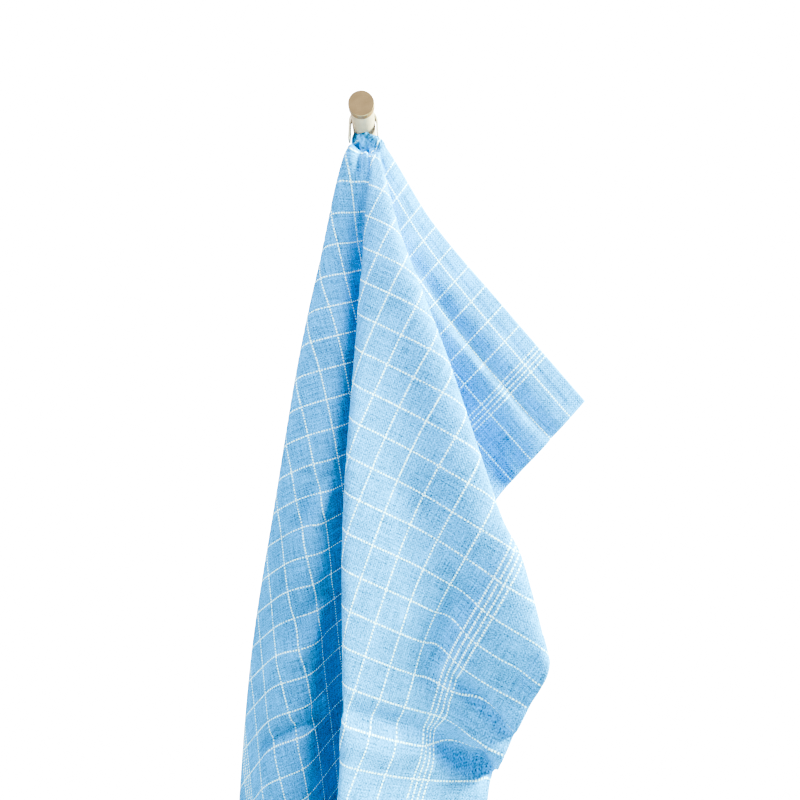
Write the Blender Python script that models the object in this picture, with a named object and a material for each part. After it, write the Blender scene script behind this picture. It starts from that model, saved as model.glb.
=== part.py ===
"""Tea towel hanging by a short loop from a round wall hook.

Metres, +Z up. X runs to the right, the wall is the plane Y = 0 and the room lies at -Y.
The origin is the centre of the hook's flat wall face.
"""

import math

import bmesh
import bpy
from mathutils import Vector

# Towel: hung from the middle of one short edge.
TOWEL_WIDTH = 0.500
TOWEL_LENGTH = 0.700
CLOTH_THICKNESS = 0.0015
HANG_RIGHT = 0.0017          # hang point, right of the hook's axis
HANG_OUT = 0.046             # hang point, out from the wall
HANG_DROP = 0.0114           # hang point, below the hook's axis

# Hook: one turned piece, its axis along Y.
HOOK_RADIUS = 0.0083
HEAD_RADIUS = 0.0090
HOOK_LENGTH = 0.073
FLANGE_RADIUS = 0.012
FLANGE_THICKNESS = 0.003
HEAD_LENGTH = 0.0046
GROOVE_WIDTH = 0.0012
GROOVE_DEPTH = 0.0007
EDGE_ROUND = 0.0005
HOOK_SIDES = 40

# Hanging loop: a tape laid over the hook, its two ends down on the hem left and right of it.
TAPE_WIDTH = 0.008
TAPE_THICKNESS = 0.0012
LOOP_INNER_RADIUS = 0.0093
LOOP_GAP = 0.0003            # between the tape and the top of the hook
LOOP_STEPS = 24
LEFT_END_DROP = 0.0128       # tape's ends, below the hook's axis
RIGHT_END_DROP = 0.0112

# Courses of the folds. A fold is a straight ray of the flat cloth that starts at the hang point;
# "angle" is its angle from the right half of the top edge, in degrees. At each station along the
# ray, "side" is how far right of the hang point the fold lies and "out" how far it stands out
# from the wall, in millimetres. "give" is the share by which the weave has lengthened along it,
# "steps" the number of mesh columns up to the next fold and "soft" the half width of cloth, in
# millimetres, over which the fold is rounded.
STATIONS = (14, 80, 160, 260, 380, 540, 745)
FOLDS = (
    dict(name="right end of top edge", angle=0, give=0, steps=7, soft=6,
         side=(13, 48, 99, 163), out=(45, 43, 43, 47)),
    dict(name="valley behind the wing", angle=32, give=0.06, steps=5, soft=8,
         side=(9, 17, 25, 46, 82), out=(49, 49, 50, 45, 36)),
    dict(name="right ridge", angle=44.5, give=0.08, steps=5, soft=8,
         side=(8, 28, 58, 91, 129), out=(52, 68, 79, 90, 100)),
    dict(name="front hollow", angle=56, give=0.06, steps=6, soft=16,
         side=(7, 12, 23, 37, 60, 128), out=(52, 68, 80, 88, 72, 32)),
    dict(name="front ridge", angle=68.5, give=0.07, steps=5, soft=9,
         side=(4, -3, -11, -16, -15, -27, -34), out=(53, 66, 78, 92, 98, 104, 110)),
    dict(name="lower pleat, right", angle=76, give=0.04, steps=4, soft=12,
         side=(2, 1, 5, 12, 16, -4, 0), out=(54, 51, 54, 64, 66, 50, 40)),
    dict(name="lower pleat, left", angle=82, give=0.02, steps=4, soft=12,
         side=(1, 3, 16, 34, 46, 60, 60), out=(54, 44, 43, 48, 50, 50, 70)),
    dict(name="deep valley", angle=88, give=0, steps=4, soft=12,
         side=(0, 5, 26, 52, 74, 88, 108), out=(54, 37, 30, 28, 32, 22, 30)),
    dict(name="back pleat", angle=95, give=0, steps=4, soft=12,
         side=(-2, -5, 9, 22, 34, 36, 24), out=(54, 39, 33, 31, 24, 10, 8)),
    dict(name="left valley", angle=101, give=0.014, steps=4, soft=10,
         side=(-5, -10, -3, -4, -8, -14, -40), out=(53, 42, 41, 34, 18, 16, 30)),
    dict(name="left panel, inner edge", angle=108, give=0.028, steps=3, soft=8,
         side=(-9, -17, -18, -26, -38, -50, -96), out=(52, 47, 52, 50, 40, 38, 58)),
    dict(name="left panel", angle=112, give=0.037, steps=5, soft=9,
         side=(-11, -22, -29, -45, -65, -76), out=(51, 45, 47, 45, 37, 40)),
    dict(name="left ridge", angle=119, give=0.051, steps=6, soft=10,
         side=(-13, -34, -52, -68, -86, -95), out=(48, 43, 44, 42, 36, 40)),
    dict(name="left turn", angle=128, give=0.05, steps=6, soft=10,
         side=(-13, -26, -34, -38, -50, -62), out=(46, 37, 32, 21, 10, 8)),
    dict(name="back turn, front side", angle=147, give=0.06, steps=3, soft=8,
         side=(-11, 14, 36, 70, 108), out=(42, 30, 21, 18, 20)),
    dict(name="back turn, wall side", angle=152, give=0.05, steps=6, soft=8,
         side=(-10, 14, 36, 56, 74), out=(41, 25, 10, 5, 5)),
    dict(name="left end of top edge", angle=180, give=0, steps=0, soft=7,
         side=(-8, -26, -46, -66), out=(36, 21, 6, 5)),
)
ROW_COUNT = 27
FIRST_ROW = 0.012            # distance of the first mesh row from the hang point
ROW_CROWDING = 1.2           # above 1 crowds the mesh rows towards the hang point
COLUMN_CROWDING = 0.5        # 0 spreads the mesh columns evenly, 1 crowds them at the folds
WIDEST_ROUNDING = 6          # degrees, for the rounding close to the hang point
COURSE_STEP = 0.002          # step along a fold's course when its drop is summed


def course_value(knots, values, distance):
    """Smooth curve through (knots, values), straight past the last knot."""
    last = len(knots) - 1
    if distance >= knots[last]:
        slope = (values[last] - values[last - 1]) / (knots[last] - knots[last - 1])
        return values[last] + slope * (distance - knots[last])
    span = 0
    while distance > knots[span + 1]:
        span += 1

    def slope_at(index):
        low = max(index - 1, 0)
        high = min(index + 1, last)
        return (values[high] - values[low]) / (knots[high] - knots[low])

    width = knots[span + 1] - knots[span]
    t = (distance - knots[span]) / width
    start = (1 + 2 * t) * (1 - t) ** 2 * values[span] + t * (1 - t) ** 2 * width * slope_at(span)
    end = t * t * (3 - 2 * t) * values[span + 1] - t * t * (1 - t) * width * slope_at(span + 1)
    return start + end


def fold_course(fold):
    """Points of one fold, a COURSE_STEP apart along the cloth, from the hang point."""
    count = len(fold["side"])
    knots = [0.0] + [station / 1000 for station in STATIONS[:count]]
    sides = [0.0] + [value / 1000 for value in fold["side"]]
    depths = [-HANG_OUT] + [-value / 1000 for value in fold["out"]]
    points = [Vector((HANG_RIGHT, -HANG_OUT, -HANG_DROP))]
    reach = math.hypot(TOWEL_WIDTH / 2, TOWEL_LENGTH) + 3 * COURSE_STEP
    for step in range(1, int(reach / COURSE_STEP) + 1):
        distance = step * COURSE_STEP
        x = HANG_RIGHT + course_value(knots, sides, distance)
        y = course_value(knots, depths, distance)
        last = points[-1]
        run = (x - last.x) ** 2 + (y - last.y) ** 2
        drop = math.sqrt(max(((1 + fold["give"]) * COURSE_STEP) ** 2 - run, 0.0))
        points.append(Vector((x, y, last.z - drop)))
    return points


def along(course, distance):
    """Point of a fold at a distance from the hang point."""
    place = distance / COURSE_STEP
    index = min(int(place), len(course) - 2)
    return course[index].lerp(course[index + 1], place - index)


def panel_point(courses, angle, distance):
    """Point of the creased cloth: flat panels between the folds, bent on past the two ends."""
    index = 0
    while index < len(FOLDS) - 2 and angle > FOLDS[index + 1]["angle"]:
        index += 1
    low = FOLDS[index]["angle"]
    high = FOLDS[index + 1]["angle"]
    span = math.radians(high - low)
    share = (angle - low) / (high - low)
    low_weight = math.sin((1 - share) * span) / math.sin(span)
    high_weight = math.sin(share * span) / math.sin(span)
    return along(courses[index], distance) * low_weight + along(courses[index + 1], distance) * high_weight


def softness(angle):
    """Half width of the rounding at an angle, in metres of cloth, blended from fold to fold."""
    index = 0
    while index < len(FOLDS) - 2 and angle > FOLDS[index + 1]["angle"]:
        index += 1
    share = (angle - FOLDS[index]["angle"]) / (FOLDS[index + 1]["angle"] - FOLDS[index]["angle"])
    return (FOLDS[index]["soft"] * (1 - share) + FOLDS[index + 1]["soft"] * share) / 1000


def cloth_point(courses, angle, distance):
    """Point of the towel's middle surface, with its folds rounded."""
    width = min(math.degrees(softness(angle) / distance), WIDEST_ROUNDING)
    total = Vector((0.0, 0.0, 0.0))
    samples = (-1.0, -0.6, -0.2, 0.2, 0.6, 1.0)
    for sample in samples:
        total += panel_point(courses, angle + sample * width, distance)
    return total / len(samples)


def edge_distance(angle):
    """Length of the ray from the hang point to the towel's side or bottom edge."""
    radians = math.radians(angle)
    to_side = TOWEL_WIDTH / 2 / max(abs(math.cos(radians)), 1e-6)
    to_bottom = TOWEL_LENGTH / max(math.sin(radians), 1e-6)
    return min(to_side, to_bottom)


def column_angles():
    """Angles of the mesh columns: crowded at the folds, with one on each bottom corner."""
    angles = []
    for fold, following in zip(FOLDS, FOLDS[1:]):
        for step in range(fold["steps"]):
            share = step / fold["steps"]
            share -= COLUMN_CROWDING * math.sin(math.tau * share) / math.tau
            angles.append(fold["angle"] + (following["angle"] - fold["angle"]) * share)
    angles.append(FOLDS[-1]["angle"])
    right_corner = math.degrees(math.atan2(TOWEL_LENGTH, TOWEL_WIDTH / 2))
    for corner in (right_corner, 180 - right_corner):
        nearest = min(range(len(angles)), key=lambda index: abs(angles[index] - corner))
        angles[nearest] = corner
    return angles


def make_material(name, color, roughness, metallic):
    material = bpy.data.materials.new(name)
    material.use_nodes = True
    shader = material.node_tree.nodes["Principled BSDF"]
    shader.inputs["Base Color"].default_value = (*color, 1.0)
    shader.inputs["Roughness"].default_value = roughness
    shader.inputs["Metallic"].default_value = metallic
    return material


def add_object(name, bm, material, smooth_angle):
    """Object from a bmesh, shaded smooth but for edges sharper than smooth_angle degrees."""
    mesh = bpy.data.meshes.new(name)
    bm.to_mesh(mesh)
    bm.free()
    mesh.shade_smooth()
    mesh.set_sharp_from_angle(angle=math.radians(smooth_angle))
    mesh.materials.append(material)
    placed = bpy.data.objects.new(name, mesh)
    bpy.context.collection.objects.link(placed)
    return placed


def make_towel():
    """One sheet: a fan of columns from the hang point, given its thickness along its normals."""
    courses = [fold_course(fold) for fold in FOLDS]
    angles = column_angles()
    rows = [(row / (ROW_COUNT - 1)) ** ROW_CROWDING for row in range(ROW_COUNT)]
    middle = bmesh.new()
    pole = middle.verts.new(courses[0][0])
    grid = []
    for angle in angles:
        length = edge_distance(angle) - FIRST_ROW
        points = [cloth_point(courses, angle, FIRST_ROW + length * row) for row in rows]
        grid.append([middle.verts.new(point) for point in points])
    for left, right in zip(grid, grid[1:]):
        middle.faces.new((pole, left[0], right[0]))
        for row in range(ROW_COUNT - 1):
            middle.faces.new((left[row], left[row + 1], right[row + 1], right[row]))
    bmesh.ops.triangulate(middle, faces=middle.faces, quad_method="SHORT_EDGE")
    middle.normal_update()

    sheet = bmesh.new()
    half = CLOTH_THICKNESS / 2
    front = [sheet.verts.new(vert.co + vert.normal * half) for vert in middle.verts]
    back = [sheet.verts.new(vert.co - vert.normal * half) for vert in middle.verts]
    middle.verts.index_update()
    for face in middle.faces:
        corners = [vert.index for vert in face.verts]
        sheet.faces.new([front[index] for index in corners])
        sheet.faces.new([back[index] for index in reversed(corners)])
    for edge in middle.edges:
        if edge.is_boundary:
            loop = edge.link_loops[0]
            start = loop.vert.index
            end = loop.link_loop_next.vert.index
            sheet.faces.new((front[end], front[start], back[start], back[end]))
    middle.free()
    bmesh.ops.triangulate(sheet, faces=sheet.faces)
    bmesh.ops.recalc_face_normals(sheet, faces=sheet.faces)
    cotton = make_material("blue_cotton", (0.32, 0.60, 0.86), 0.9, 0.0)
    return add_object("towel", sheet, cotton, 60)


def arc(center, radius, start, end, steps):
    """Points of an arc in the turned profile's plane, angles in degrees."""
    points = []
    for step in range(steps + 1):
        turn = math.radians(start + (end - start) * step / steps)
        points.append((center[0] + radius * math.cos(turn), center[1] + radius * math.sin(turn)))
    return points


def hook_profile():
    """Turned outline as (radius, distance out from the wall), from the wall face to the end."""
    head_start = HOOK_LENGTH - HEAD_LENGTH
    groove_floor = HOOK_RADIUS - GROOVE_DEPTH
    outline = [(0.0, 0.0), (FLANGE_RADIUS, 0.0)]
    outline += arc((FLANGE_RADIUS - EDGE_ROUND, FLANGE_THICKNESS - EDGE_ROUND), EDGE_ROUND, 0, 90, 4)
    outline += [(HOOK_RADIUS, FLANGE_THICKNESS), (HOOK_RADIUS, head_start - GROOVE_WIDTH)]
    outline += [(groove_floor, head_start - 0.7 * GROOVE_WIDTH)]
    outline += [(groove_floor, head_start - 0.3 * GROOVE_WIDTH)]
    outline += [(HEAD_RADIUS, head_start)]
    outline += arc((HEAD_RADIUS - EDGE_ROUND, HOOK_LENGTH - EDGE_ROUND), EDGE_ROUND, 0, 90, 4)
    outline += [(0.0, HOOK_LENGTH)]
    return outline


def make_hook():
    """The turned peg with its wall flange and grooved end."""
    bm = bmesh.new()
    verts = [bm.verts.new((radius, -out, 0.0)) for radius, out in hook_profile()]
    edges = [bm.edges.new(pair) for pair in zip(verts, verts[1:])]
    bmesh.ops.spin(bm, geom=verts + edges, cent=(0, 0, 0), axis=(0, 1, 0),
                   angle=math.tau, steps=HOOK_SIDES, use_merge=True)
    bmesh.ops.remove_doubles(bm, verts=bm.verts, dist=1e-6)
    bmesh.ops.triangulate(bm, faces=bm.faces)
    bmesh.ops.recalc_face_normals(bm, faces=bm.faces)
    champagne = make_material("champagne_metal", (0.62, 0.53, 0.40), 0.28, 1.0)
    return add_object("hook", bm, champagne, 30)


def make_loop():
    """Tape bent over the hook in a half circle, its ends straight down beside it."""
    outer = LOOP_INNER_RADIUS + TAPE_THICKNESS
    center_z = HOOK_RADIUS + LOOP_GAP - LOOP_INNER_RADIUS
    inner_line = [(-LOOP_INNER_RADIUS, -LEFT_END_DROP)]
    inner_line += arc((0.0, center_z), LOOP_INNER_RADIUS, 180, 0, LOOP_STEPS)
    inner_line += [(LOOP_INNER_RADIUS, -RIGHT_END_DROP)]
    outer_line = [(-outer, -LEFT_END_DROP)]
    outer_line += arc((0.0, center_z), outer, 180, 0, LOOP_STEPS)
    outer_line += [(outer, -RIGHT_END_DROP)]

    bm = bmesh.new()
    front = -HANG_OUT - TAPE_WIDTH / 2
    back = -HANG_OUT + TAPE_WIDTH / 2
    sections = []
    for (inner_x, inner_z), (outer_x, outer_z) in zip(inner_line, outer_line):
        corners = [(inner_x, front, inner_z), (outer_x, front, outer_z),
                   (outer_x, back, outer_z), (inner_x, back, inner_z)]
        sections.append([bm.verts.new(corner) for corner in corners])
    for section, following in zip(sections, sections[1:]):
        for side in range(4):
            after = (side + 1) % 4
            bm.faces.new((section[side], section[after], following[after], following[side]))
    bm.faces.new(sections[0])
    bm.faces.new(sections[-1])
    bmesh.ops.triangulate(bm, faces=bm.faces)
    bmesh.ops.recalc_face_normals(bm, faces=bm.faces)
    linen = make_material("cotton_tape", (0.86, 0.82, 0.74), 0.9, 0.0)
    return add_object("hanging_loop", bm, linen, 30)


for old in list(bpy.data.objects):
    bpy.data.objects.remove(old, do_unlink=True)

make_hook()
make_loop()
make_towel()
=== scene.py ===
import math

import bpy
import numpy as np
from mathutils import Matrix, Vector


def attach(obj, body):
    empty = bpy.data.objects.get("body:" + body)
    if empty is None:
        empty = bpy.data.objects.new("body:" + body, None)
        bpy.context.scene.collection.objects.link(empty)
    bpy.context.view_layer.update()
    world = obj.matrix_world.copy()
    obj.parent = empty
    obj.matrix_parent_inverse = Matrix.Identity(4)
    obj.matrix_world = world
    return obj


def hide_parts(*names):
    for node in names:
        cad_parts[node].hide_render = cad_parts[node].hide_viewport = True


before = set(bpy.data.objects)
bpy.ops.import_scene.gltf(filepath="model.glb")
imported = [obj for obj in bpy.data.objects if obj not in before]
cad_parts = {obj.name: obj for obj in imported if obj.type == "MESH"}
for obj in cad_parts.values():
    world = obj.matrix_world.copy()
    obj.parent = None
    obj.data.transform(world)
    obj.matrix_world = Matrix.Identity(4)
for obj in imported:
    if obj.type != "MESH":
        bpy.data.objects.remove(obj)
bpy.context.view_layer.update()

print("frame loaded")


# one look through a short lens, from a little below the middle of the cloth
camera = {
    "name": "photoCamera",
    "place": (0.0264, -0.4560, -0.2151),
    "tiltUp": 2.0,            # degrees above level
    "lens": 25.875,           # mm
    "sensor": 36.0,           # mm
}


def makeCamera():
    data = bpy.data.cameras.new(camera["name"])
    data.lens = camera["lens"]
    data.sensor_width = camera["sensor"]
    data.sensor_fit = "HORIZONTAL"
    data.clip_start = 0.01
    data.dof.use_dof = False
    eye = bpy.data.objects.new(camera["name"], data)
    bpy.context.collection.objects.link(eye)
    eye.location = camera["place"]
    eye.rotation_euler = (math.radians(90 + camera["tiltUp"]), 0.0, 0.0)
    bpy.context.scene.camera = eye


studio = {
    "floorHeight": -0.82,
    "floorWidth": 3.0,
    "floorBack": 0.38,
    "floorFront": -2.4,
    "floorColor": (0.86, 0.87, 0.88),
    "floorRoughness": 0.85,
    "backdrop": (1.0, 1.0, 1.0),         # what the camera sees behind everything
    "backdropStrength": 6.0,
    "softColor": (0.86, 0.94, 1.0),      # light from all sides
    "softStrength": 0.37,
    "mirrored": (1.0, 0.97, 0.93),       # what the metal reflects
    "mirroredStrength": 1.2,
    "lamps": (
        {"name": "keyRight", "place": (1.20, -0.30, 0.42), "aim": (0.0, -0.07, -0.25),
         "size": 0.30, "watts": 120.0, "color": (0.90, 1.14, 0.92)},
        {"name": "fillLeft", "place": (-0.92, -0.72, 0.72), "aim": (0.0, -0.07, -0.25),
         "size": 0.30, "watts": 27.5, "color": (1.0, 1.0, 1.0)},
        {"name": "topFront", "place": (0.30, -0.50, 0.66), "aim": (0.0, -0.07, -0.10),
         "size": 0.20, "watts": 10.0, "color": (0.97, 1.03, 1.0)},
    ),
}


def makeWorld():
    world = bpy.data.worlds.new("paleStudio")
    bpy.context.scene.world = world
    world.use_nodes = True
    nodes = world.node_tree.nodes
    links = world.node_tree.links
    nodes.clear()
    path = nodes.new("ShaderNodeLightPath")
    out = nodes.new("ShaderNodeOutputWorld")

    def background(color, strength):
        node = nodes.new("ShaderNodeBackground")
        node.inputs["Color"].default_value = (*color, 1.0)
        node.inputs["Strength"].default_value = strength
        return node.outputs["Background"]

    def chooseBetween(ray, otherwise, forRay):
        mix = nodes.new("ShaderNodeMixShader")
        links.new(path.outputs[ray], mix.inputs["Fac"])
        links.new(otherwise, mix.inputs[1])
        links.new(forRay, mix.inputs[2])
        return mix.outputs["Shader"]

    soft = background(studio["softColor"], studio["softStrength"])
    mirrored = background(studio["mirrored"], studio["mirroredStrength"])
    seen = background(studio["backdrop"], studio["backdropStrength"])
    shader = chooseBetween("Is Glossy Ray", soft, mirrored)
    shader = chooseBetween("Is Camera Ray", shader, seen)
    links.new(shader, out.inputs["Surface"])


def makeStudio():
    makeWorld()
    for lamp in studio["lamps"]:
        data = bpy.data.lights.new(lamp["name"], "AREA")
        data.size = lamp["size"]
        data.energy = lamp["watts"]
        data.color = lamp["color"]
        piece = bpy.data.objects.new(lamp["name"], data)
        bpy.context.collection.objects.link(piece)
        piece.location = lamp["place"]
        toward = Vector(lamp["aim"]) - Vector(lamp["place"])
        piece.rotation_euler = toward.to_track_quat("-Z", "Y").to_euler()

    depth = studio["floorBack"] - studio["floorFront"]
    middle = (studio["floorBack"] + studio["floorFront"]) / 2
    bpy.ops.object.select_all(action="DESELECT")
    bpy.ops.mesh.primitive_plane_add(size=1.0, location=(0.0, middle, studio["floorHeight"]))
    floor = bpy.context.active_object
    floor.name = "studioFloor"
    floor.scale = (studio["floorWidth"], depth, 1.0)
    bpy.ops.object.transform_apply(location=True, rotation=True, scale=True)
    paint = bpy.data.materials.new("paleFloor")
    paint.use_nodes = True
    shader = paint.node_tree.nodes["Principled BSDF"]
    shader.inputs["Base Color"].default_value = (*studio["floorColor"], 1.0)
    shader.inputs["Roughness"].default_value = studio["floorRoughness"]
    floor.data.materials.append(paint)
    bpy.context.scene.view_settings.view_transform = "AgX"
    bpy.context.scene.view_settings.look = "AgX - High Contrast"


# The towel hangs from the middle of its top edge. A fold is a straight ray of the flat cloth from
# there: its angle from the right half of the top edge, the share the weave has given along it, the
# half width of its rounding in mm of cloth, and at each station along it how far right of the hang
# point and how far out from the wall it hangs, in mm.
# A crease is a smaller one on the folds, in mm of the flat cloth: its two ends (across from the
# middle, down from the top edge), its half width on the left and on the right as seen along it, and
# how far it stands out (minus for a trough). It fades towards its ends.
towel = {
    "width": 0.500,
    "length": 0.700,
    "halfCloth": 0.00032,     # half the cloth's own thickness
    "hem": 0.0100,            # width of the turned hem
    "halfHem": 0.00075,
    "hemStep": 0.0012,        # width over which the hem's thickness begins
    "edgeRound": 0.0009,
    "hangRight": 0.0017,      # the hang point, from the centre of the hook's wall face
    "hangOut": 0.046,
    "hangDrop": 0.0114,
    "columnStep": 0.0035,
    "rowStep": 0.0036,
    "topStep": 0.0010,        # finer mesh round the hang point
    "topReach": 0.029,
    "hemLines": (0.0066, 0.0033, 0.0012, 0.0004, 0.0),      # mesh lines in the hem, from its edge
    "hemStepLines": (0.0112, 0.0104, 0.0094),               # and where its thickness begins
    "lifts": (                # where the loop draws the cloth up
        {"across": 0.000, "down": 0.000, "rise": 0.0006, "reach": 0.010},
        {"across": -0.013, "down": 0.003, "rise": 0.0070, "reach": 0.010},
    ),
    "widestRounding": 6,      # degrees, close to the hang point
    "roundingSamples": 11,
    "courseStep": 0.002,      # between the points worked out along a fold
    "stations": (14, 80, 160, 260, 380, 540, 745),
    "folds": (
        {"name": "rightTopEdge", "angle": 0, "give": 0, "soft": 6,
         "side": (13, 48, 99, 163), "out": (45, 43, 43, 47)},
        {"name": "wingValley", "angle": 32, "give": 0.06, "soft": 8,
         "side": (9, 17, 25, 46, 82), "out": (49, 49, 50, 45, 36)},
        {"name": "rightRidge", "angle": 44.5, "give": 0.08, "soft": 8,
         "side": (8, 28, 58, 91, 129), "out": (52, 68, 79, 90, 100)},
        {"name": "frontHollow", "angle": 56, "give": 0.06, "soft": 16,
         "side": (7, 12, 23, 37, 60, 128), "out": (52, 68, 80, 88, 72, 32)},
        {"name": "frontRidge", "angle": 68.5, "give": 0.07, "soft": 9,
         "side": (4, -3, -11, -16, -15, -27, -34), "out": (53, 66, 78, 92, 98, 104, 110)},
        {"name": "lowerPleatRight", "angle": 76, "give": 0.04, "soft": 12,
         "side": (2, 1, 5, 12, 16, -4, 0), "out": (54, 51, 54, 64, 66, 50, 40)},
        {"name": "lowerPleatLeft", "angle": 82, "give": 0.02, "soft": 12,
         "side": (1, 3, 16, 34, 46, 60, 60), "out": (54, 44, 43, 48, 50, 50, 70)},
        {"name": "deepValley", "angle": 88, "give": 0, "soft": 12,
         "side": (0, 5, 26, 52, 74, 88, 108), "out": (54, 37, 30, 28, 32, 22, 30)},
        {"name": "backPleat", "angle": 95, "give": 0, "soft": 12,
         "side": (-2, -5, 9, 22, 34, 36, 24), "out": (54, 39, 33, 31, 24, 10, 8)},
        {"name": "leftValley", "angle": 101, "give": 0.014, "soft": 10,
         "side": (-5, -10, -3, -4, -8, -14, -40), "out": (53, 42, 41, 34, 18, 16, 30)},
        {"name": "leftPanelEdge", "angle": 108, "give": 0.028, "soft": 8,
         "side": (-9, -17, -18, -26, -38, -50, -96), "out": (52, 47, 52, 50, 40, 38, 58)},
        {"name": "leftPanel", "angle": 112, "give": 0.037, "soft": 9,
         "side": (-11, -22, -29, -45, -65, -76), "out": (51, 45, 47, 45, 37, 40)},
        {"name": "leftRidge", "angle": 119, "give": 0.051, "soft": 10,
         "side": (-13, -34, -52, -68, -86, -95), "out": (48, 43, 44, 42, 36, 40)},
        {"name": "leftTurn", "angle": 128, "give": 0.05, "soft": 10,
         "side": (-13, -26, -34, -38, -50, -62), "out": (46, 37, 32, 21, 10, 8)},
        {"name": "backTurnFront", "angle": 147, "give": 0.06, "soft": 8,
         "side": (-11, 14, 36, 70, 108), "out": (42, 30, 21, 18, 20)},
        {"name": "backTurnWall", "angle": 152, "give": 0.05, "soft": 8,
         "side": (-10, 14, 36, 56, 74), "out": (41, 25, 10, 5, 5)},
        {"name": "leftTopEdge", "angle": 180, "give": 0, "soft": 7,
         "side": (-8, -26, -46, -66), "out": (36, 21, 6, 5)},
    ),
    "creases": (
        # at the loop
        {"name": "topArch", "from": (-20, 1.5), "to": (16, 1.5), "wide": (2.5, 2.5), "high": 3.2},
        {"name": "gatherTrough", "from": (-16, 8.5), "to": (13, 8.5), "wide": (3.5, 5.5), "high": -9.0},
        {"name": "gatherFold", "from": (-2, 7), "to": (-3, 34), "wide": (2.4, 2.4), "high": -4.5},
        {"name": "frontGroove", "from": (1.5, 8), "to": (19, 88), "wide": (3.2, 2.6), "high": -6.0},
        {"name": "leftLip", "from": (-10, 13), "to": (-2, 14.5), "wide": (2.5, 2.5), "high": 1.6},
        {"name": "rightLip", "from": (2, 14), "to": (12, 11), "wide": (2.5, 2.5), "high": 1.2},
        # the front ridge
        {"name": "ridgeSwell", "from": (22, 27), "to": (232, 262), "wide": (14, 14), "high": 3.0},
        # the wing
        {"name": "wingTrough", "from": (74, 35.5), "to": (262, 36.5), "wide": (9, 2), "high": -4.5},
        {"name": "wingHollow", "from": (112, 80), "to": (262, 88), "wide": (34, 12), "high": -14.0},
        {"name": "wingHemTrough", "from": (208, 35), "to": (252, 36), "wide": (5, 5), "high": -2.0},
        {"name": "wingDimpleHigh", "from": (234, 60), "to": (254, 67), "wide": (5, 5), "high": -1.2},
        {"name": "wingDimpleLow", "from": (226, 78), "to": (254, 84), "wide": (5, 5), "high": -1.4},
        # the front panel and its lower right
        {"name": "panelDimple", "from": (112, 196), "to": (150, 214), "wide": (12, 12), "high": -1.6},
        {"name": "panelTrough", "from": (60, 104), "to": (174, 266), "wide": (26, 26), "high": -3.8},
        {"name": "hemSwell", "from": (204, 160), "to": (206, 316), "wide": (34, 10), "high": 5.6},
        {"name": "groupTrough", "from": (185, 234), "to": (190, 308), "wide": (10, 8), "high": -7.5},
        {"name": "hemPatch", "from": (226, 262), "to": (258, 286), "wide": (7, 10), "high": -4.6},
        {"name": "hemTrough", "from": (198, 291), "to": (262, 317), "wide": (7, 5), "high": -10.5},
        {"name": "hemRidge", "from": (198, 315), "to": (256, 329), "wide": (4, 5), "high": 6.5},
        {"name": "rowTrough", "from": (128, 338), "to": (222, 335), "wide": (8, 3), "high": -5.0},
        {"name": "rowRidge", "from": (130, 352), "to": (216, 350), "wide": (6, 9), "high": 3.0},
        {"name": "pocket", "from": (200, 336), "to": (262, 364), "wide": (10, 8), "high": -13.0},
        {"name": "hemUpright", "from": (231, 322), "to": (254, 380), "wide": (4, 5), "high": -5.0},
        # the left side
        {"name": "valleyTrough", "from": (-56, 250), "to": (-126, 640), "wide": (12, 34), "high": -9.0},
        {"name": "leftWedge", "from": (-80, 232), "to": (-106, 270), "wide": (4, 7), "high": -4.6},
        {"name": "leftWedgeRidge", "from": (-74, 238), "to": (-98, 274), "wide": (4, 5), "high": 3.0},
        {"name": "leftPatch", "from": (-84, 302), "to": (-130, 334), "wide": (9, 7), "high": -4.2},
        {"name": "leftStep", "from": (-146, 353), "to": (-98, 338), "wide": (6, 9), "high": 3.6},
        {"name": "leftDarkWedge", "from": (-176, 402), "to": (-108, 392), "wide": (4, 9), "high": -6.5},
    ),
}

def courseValue(knots, values, distances):
    # smooth curve through the knots, straight past the last one
    knots = np.array(knots, dtype=float)
    values = np.array(values, dtype=float)
    last = len(knots) - 1
    below = np.maximum(np.arange(last + 1) - 1, 0)
    above = np.minimum(np.arange(last + 1) + 1, last)
    slopes = (values[above] - values[below]) / (knots[above] - knots[below])
    span = np.clip(np.searchsorted(knots, distances, side="left") - 1, 0, last - 1)
    width = knots[span + 1] - knots[span]
    t = (distances - knots[span]) / width
    start = (1 + 2 * t) * (1 - t) ** 2 * values[span] + t * (1 - t) ** 2 * width * slopes[span]
    end = t * t * (3 - 2 * t) * values[span + 1] - t * t * (1 - t) * width * slopes[span + 1]
    beyond = values[last] + slopes[last] * (distances - knots[last])
    return np.where(distances >= knots[last], beyond, start + end)


def foldCourses():
    # one row of points for each fold, courseStep apart along the cloth
    step = towel["courseStep"]
    reach = math.hypot(towel["width"] / 2, towel["length"]) + 3 * step
    distances = np.arange(int(reach / step) + 1) * step
    courses = np.zeros((len(towel["folds"]), len(distances), 3))
    for course, fold in zip(courses, towel["folds"]):
        knots = [0.0] + [station / 1000 for station in towel["stations"][:len(fold["side"])]]
        x = courseValue(knots, [0.0] + [value / 1000 for value in fold["side"]], distances)
        y = courseValue(knots, [-towel["hangOut"]] + [-value / 1000 for value in fold["out"]], distances)
        x[0] = 0.0
        y[0] = -towel["hangOut"]
        run = np.diff(x) ** 2 + np.diff(y) ** 2
        drop = np.sqrt(np.maximum(((1 + fold["give"]) * step) ** 2 - run, 0.0))
        course[:, 0] = x + towel["hangRight"]
        course[:, 1] = y
        course[:, 2] = -towel["hangDrop"] - np.concatenate([[0.0], np.cumsum(drop)])
    return courses


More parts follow.
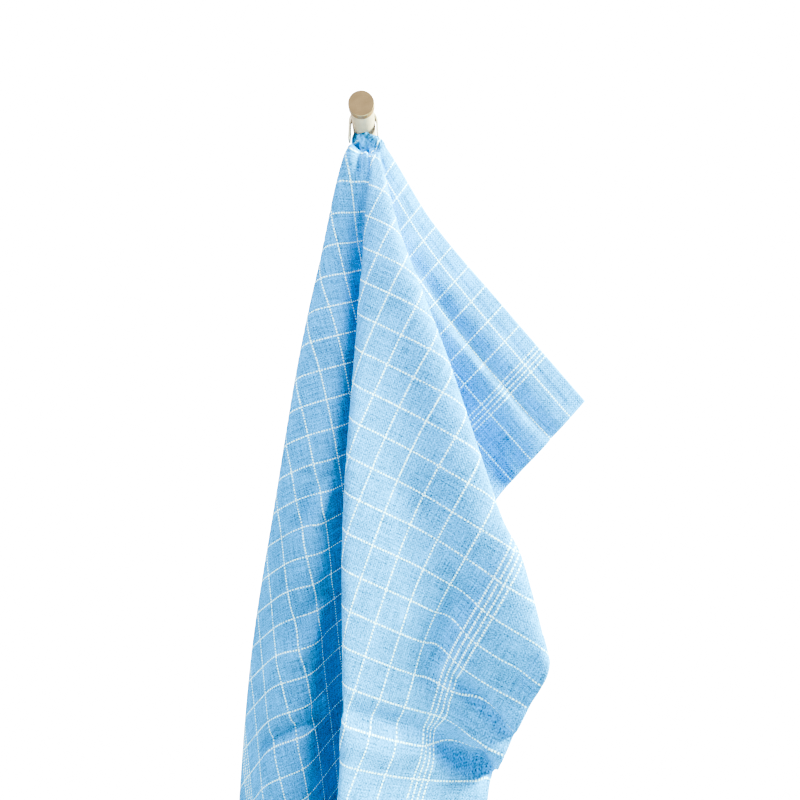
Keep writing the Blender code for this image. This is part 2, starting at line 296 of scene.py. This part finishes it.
def panelPoints(courses, angles, distances):
    # flat panels between the folds
    turns = np.array([fold["angle"] for fold in towel["folds"]], dtype=float)
    index = np.clip(np.searchsorted(turns, angles, side="left") - 1, 0, len(turns) - 2)
    span = np.radians(turns[index + 1] - turns[index])
    share = (angles - turns[index]) / (turns[index + 1] - turns[index])
    lowWeight = (np.sin((1 - share) * span) / np.sin(span))[..., None]
    highWeight = (np.sin(share * span) / np.sin(span))[..., None]
    place = distances / towel["courseStep"]
    step = np.clip(place.astype(int), 0, courses.shape[1] - 2)
    part = (place - step)[..., None]
    low = courses[index, step] * (1 - part) + courses[index, step + 1] * part
    high = courses[index + 1, step] * (1 - part) + courses[index + 1, step + 1] * part
    return low * lowWeight + high * highWeight


def hungPoints(courses, across, down):
    # middle of the hung cloth at points of the flat cloth, its folds rounded
    angles = np.degrees(np.arctan2(down, across))
    distances = np.maximum(np.hypot(across, down), 1e-5)
    turns = [fold["angle"] for fold in towel["folds"]]
    soft = np.interp(angles, turns, [fold["soft"] / 1000 for fold in towel["folds"]])
    width = np.minimum(np.degrees(soft / distances), towel["widestRounding"])
    samples = np.linspace(-1.0, 1.0, towel["roundingSamples"])
    total = 0.0
    for sample in samples:
        total = total + panelPoints(courses, angles + sample * width, distances)
    return total / len(samples)


def creaseHeight(across, down):
    # how far the small creases stand out, in metres
    height = np.zeros_like(across)
    for crease in towel["creases"]:
        x0, y0 = (value / 1000 for value in crease["from"])
        x1, y1 = (value / 1000 for value in crease["to"])
        length = math.hypot(x1 - x0, y1 - y0)
        along = ((across - x0) * (x1 - x0) + (down - y0) * (y1 - y0)) / length ** 2
        side = ((across - x0) * (y1 - y0) - (down - y0) * (x1 - x0)) / length
        taper = np.sin(math.pi * np.clip(along, 0.0, 1.0)) ** 0.7
        leftWide, rightWide = crease["wide"]
        wide = np.where(side < 0.0, rightWide, leftWide) / 1000
        height += crease["high"] / 1000 * taper * np.exp(-(side / wide) ** 2)
    return height


def hemLines(reach, start, step):
    # distances of the mesh lines from start out to the cloth's edge, closer together in the hem
    end = reach - towel["hem"] - 0.003
    count = max(int(round((end - start) / step)), 1)
    lines = [start + (end - start) * index / count for index in range(count + 1)]
    return lines + [reach - offset for offset in towel["hemStepLines"] + towel["hemLines"]]


def surfaceNormals(points):
    normals = np.cross(np.gradient(points, axis=1), np.gradient(points, axis=0))
    return normals / np.maximum(np.linalg.norm(normals, axis=-1, keepdims=True), 1e-12)


def makeTowel():
    halfWidth = towel["width"] / 2
    topLines = list(np.arange(0.0, towel["topReach"], towel["topStep"]))
    right = topLines + hemLines(halfWidth, towel["topReach"], towel["columnStep"])
    columns = [-value for value in reversed(right[1:])] + right
    rows = topLines + hemLines(towel["length"], towel["topReach"], towel["rowStep"])
    across, down = np.meshgrid(np.array(columns), np.array(rows), indexing="ij")
    middle = hungPoints(foldCourses(), across, down)
    for lift in towel["lifts"]:
        away = np.hypot(across - lift["across"], down - lift["down"])
        middle[..., 2] += lift["rise"] * np.exp(-(away / lift["reach"]) ** 2)
    middle = middle + surfaceNormals(middle) * creaseHeight(across, down)[..., None]
    normals = surfaceNormals(middle)

    # the hem is more than twice as thick as the cloth and its edge is rolled
    fromEdge = np.minimum(np.minimum(halfWidth - np.abs(across), towel["length"] - down), down)
    hemStart = towel["hem"] + towel["hemStep"] * 2 / 3
    inHem = np.clip((hemStart - fromEdge) / towel["hemStep"], 0.0, 1.0)
    half = towel["halfCloth"] + (towel["halfHem"] - towel["halfCloth"]) * inHem
    half = half * np.sqrt(np.clip(fromEdge / towel["edgeRound"], 0.06, 1.0))
    front = middle + normals * half[..., None]
    back = middle - normals * half[..., None]

    # both faces and the rim between them; the map holds each point's place on the flat cloth
    points = np.concatenate([front.reshape(-1, 3), back.reshape(-1, 3)])
    flat = np.stack([across.ravel(), down.ravel()], axis=-1)
    flat = np.concatenate([flat, flat])
    total = across.size
    index = np.arange(total).reshape(across.shape)
    a, b = index[:-1, :-1].ravel(), index[1:, :-1].ravel()
    c, d = index[1:, 1:].ravel(), index[:-1, 1:].ravel()
    faces = [np.stack([a, d, c, b], axis=-1), np.stack([a, b, c, d], axis=-1) + total]
    rim = np.concatenate([index[:-1, 0], index[-1, :-1], index[:0:-1, -1], index[0, :0:-1]])
    after = np.roll(rim, -1)
    faces.append(np.stack([rim, after, after + total, rim + total], axis=-1))

    mesh = bpy.data.meshes.new("towelCloth")
    mesh.from_pydata(points.tolist(), [], np.concatenate(faces).tolist())
    layer = mesh.uv_layers.new(name="clothMap")
    corners = np.empty(len(mesh.loops), dtype=np.int64)
    mesh.loops.foreach_get("vertex_index", corners)
    layer.data.foreach_set("uv", flat[corners].ravel())
    mesh.shade_smooth()
    mesh.update()
    piece = bpy.data.objects.new("towelCloth", mesh)
    bpy.context.collection.objects.link(piece)
    print("towel", len(mesh.polygons), "faces")
    return piece


# short ways to lay out shader nodes; a value can be a number, a colour or another node's output
def addNode(material, kind, **settings):
    node = material.node_tree.nodes.new(kind)
    place = len(material.node_tree.nodes)
    node.location = (-2400 + 180 * (place % 12), 600 - 200 * (place // 12))
    for key, value in settings.items():
        setattr(node, key, value)
    return node


def plug(material, value, socket):
    if hasattr(value, "is_output"):
        material.node_tree.links.new(value, socket)
    else:
        socket.default_value = value


def calc(material, operation, *values):
    node = addNode(material, "ShaderNodeMath", operation=operation)
    for value, socket in zip(values, node.inputs):
        plug(material, value, socket)
    return node.outputs[0]


def blend(material, value, low, high, atLow=0.0, atHigh=1.0):
    node = addNode(material, "ShaderNodeMapRange", interpolation_type="SMOOTHSTEP")
    for item, socket in zip((value, low, high, atLow, atHigh), node.inputs):
        plug(material, item, socket)
    return node.outputs[0]


def mixColors(material, share, first, second, how="MIX"):
    node = addNode(material, "ShaderNodeMix", data_type="RGBA", blend_type=how)
    plug(material, share, node.inputs["Factor"])
    plug(material, first, node.inputs["A"])
    plug(material, second, node.inputs["B"])
    return node.outputs["Result"]


def noise(material, vector, scale, detail):
    node = addNode(material, "ShaderNodeTexNoise", noise_dimensions="2D")
    plug(material, vector, node.inputs["Vector"])
    node.inputs["Scale"].default_value = scale
    node.inputs["Detail"].default_value = detail
    return node.outputs["Fac"]


def grayColor(material, value):
    node = addNode(material, "ShaderNodeCombineColor")
    for socket in node.inputs:
        plug(material, value, socket)
    return node.outputs[0]


def addBump(material, height, strength, depth):
    node = addNode(material, "ShaderNodeBump")
    node.inputs["Strength"].default_value = strength
    node.inputs["Distance"].default_value = depth
    plug(material, height, node.inputs["Height"])
    return node.outputs[0]


def newMaterial(name):
    material = bpy.data.materials.new(name)
    material.use_nodes = True
    return material, material.node_tree.nodes["Principled BSDF"]


# blue plain weave with a thin white windowpane check; sizes in metres of the flat cloth
cotton = {
    "name": "blueCheckCotton",
    "color": (0.048, 0.275, 0.585),
    "lineColor": (0.66, 0.97, 1.0),
    "acrossPitch": 0.0188,    # between the single lines across the towel
    "singleLines": 10,        # on each side of the middle
    "groupStart": 10.5,       # the close group beside the hem, in pitches from the middle
    "groupPitch": 0.1767,     # between its lines, in pitches
    "groupLines": 4,
    "downPitch": 0.0205,      # between the lines down the towel
    "downStart": 0.22,        # share of a pitch by which the first is nearer the top edge
    "plainTop": 0.0089,       # width without a line at the top edge
    "halfLine": 0.00064,
    "fullLine": 0.55,         # share of the half width that is fully white
    "threadPitch": 0.00100,
    "dash": (0.68, 0.36),     # half lengths in threads: where it begins, where it is full
    "dashGap": 0.06,          # how much white is left between two dashes
    "dashUneven": 0.8,        # threads
    "dashScale": 700.0,
    "threadWave": 0.16,       # tone differences, as shares of the colour
    "yarn": 0.50,
    "grain": 0.85,
    "patches": 0.25,
    "darkest": 0.15,
    "yarnScale": (1050.0, 60.0),         # across a yarn, along it
    "grainScale": 1050.0,
    "patchScale": 28.0,
    "bump": 0.55,
    "bumpDepth": 0.00022,
    "bumpShares": {"weave": 0.5, "grain": 1.2, "line": 0.7},
    "roughness": 0.88,
    "specular": 0.15,
}


def makeCotton():
    material, shader = newMaterial(cotton["name"])

    def use(operation, *values):
        return calc(material, operation, *values)

    def apart(value, pitch):
        # distance to the nearest whole pitch
        share = use("FRACT", use("ADD", use("DIVIDE", value, pitch), 0.5))
        return use("MULTIPLY", use("ABSOLUTE", use("SUBTRACT", share, 0.5)), pitch)

    uv = addNode(material, "ShaderNodeUVMap", uv_map="clothMap").outputs["UV"]
    parts = addNode(material, "ShaderNodeSeparateXYZ")
    plug(material, uv, parts.inputs[0])
    across, down = parts.outputs["X"], parts.outputs["Y"]

    # single lines across, the close group beside each long hem, and the lines down the towel
    pitch = cotton["acrossPitch"]
    fromMiddle = use("ABSOLUTE", across)
    single = apart(use("SUBTRACT", fromMiddle, pitch / 2), pitch)
    lastSingle = cotton["singleLines"] * pitch
    single = use("ADD", single, blend(material, fromMiddle, 0.998 * lastSingle, 1.002 * lastSingle))
    groupStep = cotton["groupPitch"] * pitch
    inGroup = use("SUBTRACT", fromMiddle, cotton["groupStart"] * pitch)
    group = apart(inGroup, groupStep)
    halfGroup = cotton["groupLines"] / 2 * groupStep
    outside = use("ABSOLUTE", use("SUBTRACT", inGroup, halfGroup - groupStep / 2))
    group = use("ADD", group, blend(material, outside, 0.98 * halfGroup, 0.995 * halfGroup))
    acrossGap = use("MINIMUM", single, group)
    downGap = apart(use("ADD", down, cotton["downStart"] * cotton["downPitch"]), cotton["downPitch"])
    plainTop = cotton["plainTop"]
    downGap = use("ADD", downGap, blend(material, down, 1.01 * plainTop, 0.99 * plainTop))

    # the white threads show as dashes where they cross over the blue ones
    thread = cotton["threadPitch"]
    lineIndex = use("FLOOR", use("ADD", use("DIVIDE", inGroup, groupStep), 0.5))
    stagger = use("MULTIPLY", lineIndex, thread)
    drift = cotton["dashUneven"] * thread
    uneven = noise(material, uv, cotton["dashScale"], 1.0)
    uneven = use("MULTIPLY_ADD", uneven, 2 * drift, -drift)
    dashStart, dashFull = (share * thread for share in cotton["dash"])

    def dashes(place):
        gap = use("ADD", apart(place, 2 * thread), uneven)
        return blend(material, gap, dashStart, dashFull, cotton["dashGap"], 1.0)

    def lineTone(gap, dash):
        half = cotton["halfLine"]
        return use("MULTIPLY", blend(material, gap, half, cotton["fullLine"] * half), dash)

    acrossLine = lineTone(acrossGap, dashes(use("ADD", down, stagger)))
    downLine = lineTone(downGap, dashes(across))
    line = use("MAXIMUM", acrossLine, downLine)

    # plain weave, its yarns a little uneven in tone and thickness
    waveAcross = use("SINE", use("MULTIPLY", across, math.pi / thread))
    waveDown = use("SINE", use("MULTIPLY", down, math.pi / thread))
    weave = use("MULTIPLY", waveAcross, waveDown)

    def yarns(x, y):
        node = addNode(material, "ShaderNodeVectorMath", operation="MULTIPLY")
        plug(material, uv, node.inputs[0])
        node.inputs[1].default_value = (x, y, 1.0)
        return noise(material, node.outputs[0], 1.0, 2.0)

    fine, coarse = cotton["yarnScale"]
    grain = noise(material, uv, cotton["grainScale"], 1.0)
    tone = use("MULTIPLY_ADD", weave, cotton["threadWave"], 1.0)
    for texture, amount in (
            (yarns(fine, coarse), cotton["yarn"]),
            (yarns(coarse, fine), cotton["yarn"]),
            (grain, cotton["grain"]),
            (noise(material, uv, cotton["patchScale"], 3.0), cotton["patches"])):
        tone = use("ADD", tone, use("MULTIPLY_ADD", texture, 2 * amount, -amount))
    tone = use("MAXIMUM", tone, cotton["darkest"])
    blue = mixColors(material, 1.0, (*cotton["color"], 1.0), grayColor(material, tone), "MULTIPLY")
    color = mixColors(material, line, blue, (*cotton["lineColor"], 1.0))
    plug(material, color, shader.inputs["Base Color"])

    shares = cotton["bumpShares"]
    height = use("MULTIPLY_ADD", weave, shares["weave"], use("MULTIPLY", grain, shares["grain"]))
    height = use("ADD", height, use("MULTIPLY", line, shares["line"]))
    bump = addBump(material, height, cotton["bump"], cotton["bumpDepth"])
    plug(material, bump, shader.inputs["Normal"])
    shader.inputs["Roughness"].default_value = cotton["roughness"]
    shader.inputs["Specular IOR Level"].default_value = cotton["specular"]
    return material


# tape over the hook, its ends on the hem
loop = {
    "width": 0.0080,
    "thickness": 0.0014,
    "radius": 0.0099,         # to the middle of the tape's thickness
    "height": -0.0007,        # of the bend's centre, from the hook's axis
    "out": 0.046,             # from the wall
    "leftEnd": -0.0127,
    "rightEnd": -0.0111,
    "flare": 0.0005,          # by which each end stands away
    "legSteps": (             # from an end up to the bend, as shares of the leg and of the flare
        {"rise": 0.3, "drift": 0.55},
        {"rise": 0.3, "drift": 0.35},
        {"rise": 0.4, "drift": 0.10},
    ),
    "bends": 28,
    "edgeRound": 0.0003,
    "color": (0.46, 0.40, 0.31),
    "ribColor": (0.62, 0.56, 0.46),
    "ribs": 420.0,
    "ribUneven": 1.5,
    "ribBump": 0.5,
    "ribDepth": 0.0002,
    "roughness": 0.9,
}


def makeLoop():
    # the tape's cross-section, drawn up the left side, around the hook and down the right side
    center = (0.0, -loop["out"], loop["height"])
    bpy.ops.object.select_all(action="DESELECT")
    start = (-loop["radius"] - loop["flare"], -loop["out"], loop["leftEnd"])
    bpy.ops.mesh.primitive_plane_add(size=1.0, location=start)
    tape = bpy.context.active_object
    tape.name = "loopTape"
    tape.scale = (loop["thickness"], loop["width"], 1.0)
    bpy.ops.object.transform_apply(location=True, rotation=True, scale=True)
    bpy.ops.object.mode_set(mode="EDIT")
    bpy.ops.mesh.select_all(action="SELECT")
    rise = loop["height"] - loop["leftEnd"]
    for step in loop["legSteps"]:
        bpy.ops.mesh.extrude_region_move(TRANSFORM_OT_translate={
            "value": (step["drift"] * loop["flare"], 0.0, step["rise"] * rise)})
    bpy.ops.mesh.spin(steps=loop["bends"], angle=-math.pi, center=center, axis=(0.0, 1.0, 0.0))
    fall = loop["height"] - loop["rightEnd"]
    for step in reversed(loop["legSteps"]):
        bpy.ops.mesh.extrude_region_move(TRANSFORM_OT_translate={
            "value": (step["drift"] * loop["flare"], 0.0, -step["rise"] * fall)})
    bpy.ops.mesh.select_all(action="SELECT")
    bpy.ops.mesh.remove_doubles(threshold=0.00001)
    bpy.ops.mesh.normals_make_consistent(inside=False)
    bpy.ops.object.mode_set(mode="OBJECT")
    edges = tape.modifiers.new("softEdges", "BEVEL")
    edges.width = loop["edgeRound"]
    edges.segments = 2
    edges.limit_method = "ANGLE"
    edges.angle_limit = math.radians(50)
    bpy.ops.object.modifier_apply(modifier=edges.name)
    bpy.ops.object.shade_smooth_by_angle(angle=math.radians(40))
    print("loop tape", len(tape.data.polygons), "faces")
    return tape


def makeTape():
    material, shader = newMaterial("naturalTape")
    place = addNode(material, "ShaderNodeTexCoord").outputs["Object"]
    ribs = addNode(material, "ShaderNodeTexWave", wave_type="BANDS", bands_direction="Y")
    plug(material, place, ribs.inputs["Vector"])
    ribs.inputs["Scale"].default_value = loop["ribs"]
    ribs.inputs["Distortion"].default_value = loop["ribUneven"]
    color = mixColors(material, ribs.outputs["Fac"], (*loop["color"], 1.0), (*loop["ribColor"], 1.0))
    plug(material, color, shader.inputs["Base Color"])
    bump = addBump(material, ribs.outputs["Fac"], loop["ribBump"], loop["ribDepth"])
    plug(material, bump, shader.inputs["Normal"])
    shader.inputs["Roughness"].default_value = loop["roughness"]
    return material


# turned metal: warm on its round end; the side of the end is painted darker as shade, and the peg is
# painted paler as a reflection of the pale surroundings
metal = {
    "endColor": (0.38, 0.29, 0.175),
    "rimShadeColor": (0.25, 0.135, 0.05),     # painted shade round the side of the end
    # painted reflection: the peg paler, as the pale surroundings show in the metal
    "pegReflectionColor": (0.50, 0.375, 0.26),
    "rimDepth": (-0.0728, -0.0724),      # from the wall, where the end face goes over into its side
    "pegDepth": (-0.0690, -0.0684),      # and its side into the peg
    "metallic": (1.0, 0.0),   # on the end face, behind it
    "roughness": (0.24, 0.50),           # on the end, on the peg
    "specular": 0.25,
    "brushing": 160.0,
    "brushedShade": 0.88,     # of its darkest strokes
}


def makeMetal():
    material, shader = newMaterial("champagneMetal")
    place = addNode(material, "ShaderNodeTexCoord").outputs["Object"]
    brushed = addNode(material, "ShaderNodeTexNoise")
    plug(material, place, brushed.inputs["Vector"])
    brushed.inputs["Scale"].default_value = metal["brushing"]
    brushed.inputs["Detail"].default_value = 4.0
    parts = addNode(material, "ShaderNodeSeparateXYZ")
    plug(material, place, parts.inputs[0])
    onPeg = blend(material, parts.outputs["Y"], *metal["pegDepth"])
    behind = blend(material, parts.outputs["Y"], *metal["rimDepth"])
    # painted shade round the side of the end face
    tint = mixColors(material, behind, (*metal["endColor"], 1.0), (*metal["rimShadeColor"], 1.0))
    # painted reflection: paler along the peg
    tint = mixColors(material, onPeg, tint, (*metal["pegReflectionColor"], 1.0))
    shade = blend(material, brushed.outputs["Fac"], 0.3, 0.7, metal["brushedShade"], 1.0)
    tint = mixColors(material, 1.0, tint, grayColor(material, shade), "MULTIPLY")
    roughness = blend(material, onPeg, 0.0, 1.0, *metal["roughness"])
    metallic = blend(material, behind, 0.0, 1.0, *metal["metallic"])
    plug(material, tint, shader.inputs["Base Color"])
    plug(material, roughness, shader.inputs["Roughness"])
    plug(material, metallic, shader.inputs["Metallic"])
    shader.inputs["Specular IOR Level"].default_value = metal["specular"]
    return material


makeCamera()
makeStudio()
print("camera and studio")

cloth = makeTowel()
cloth.data.materials.append(makeCotton())
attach(cloth, "root")
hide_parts("towel")

tape = makeLoop()
tape.data.materials.append(makeTape())
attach(tape, "root")
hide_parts("hanging_loop")

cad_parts["hook"].data.materials[0] = makeMetal()
print("hook and loop")
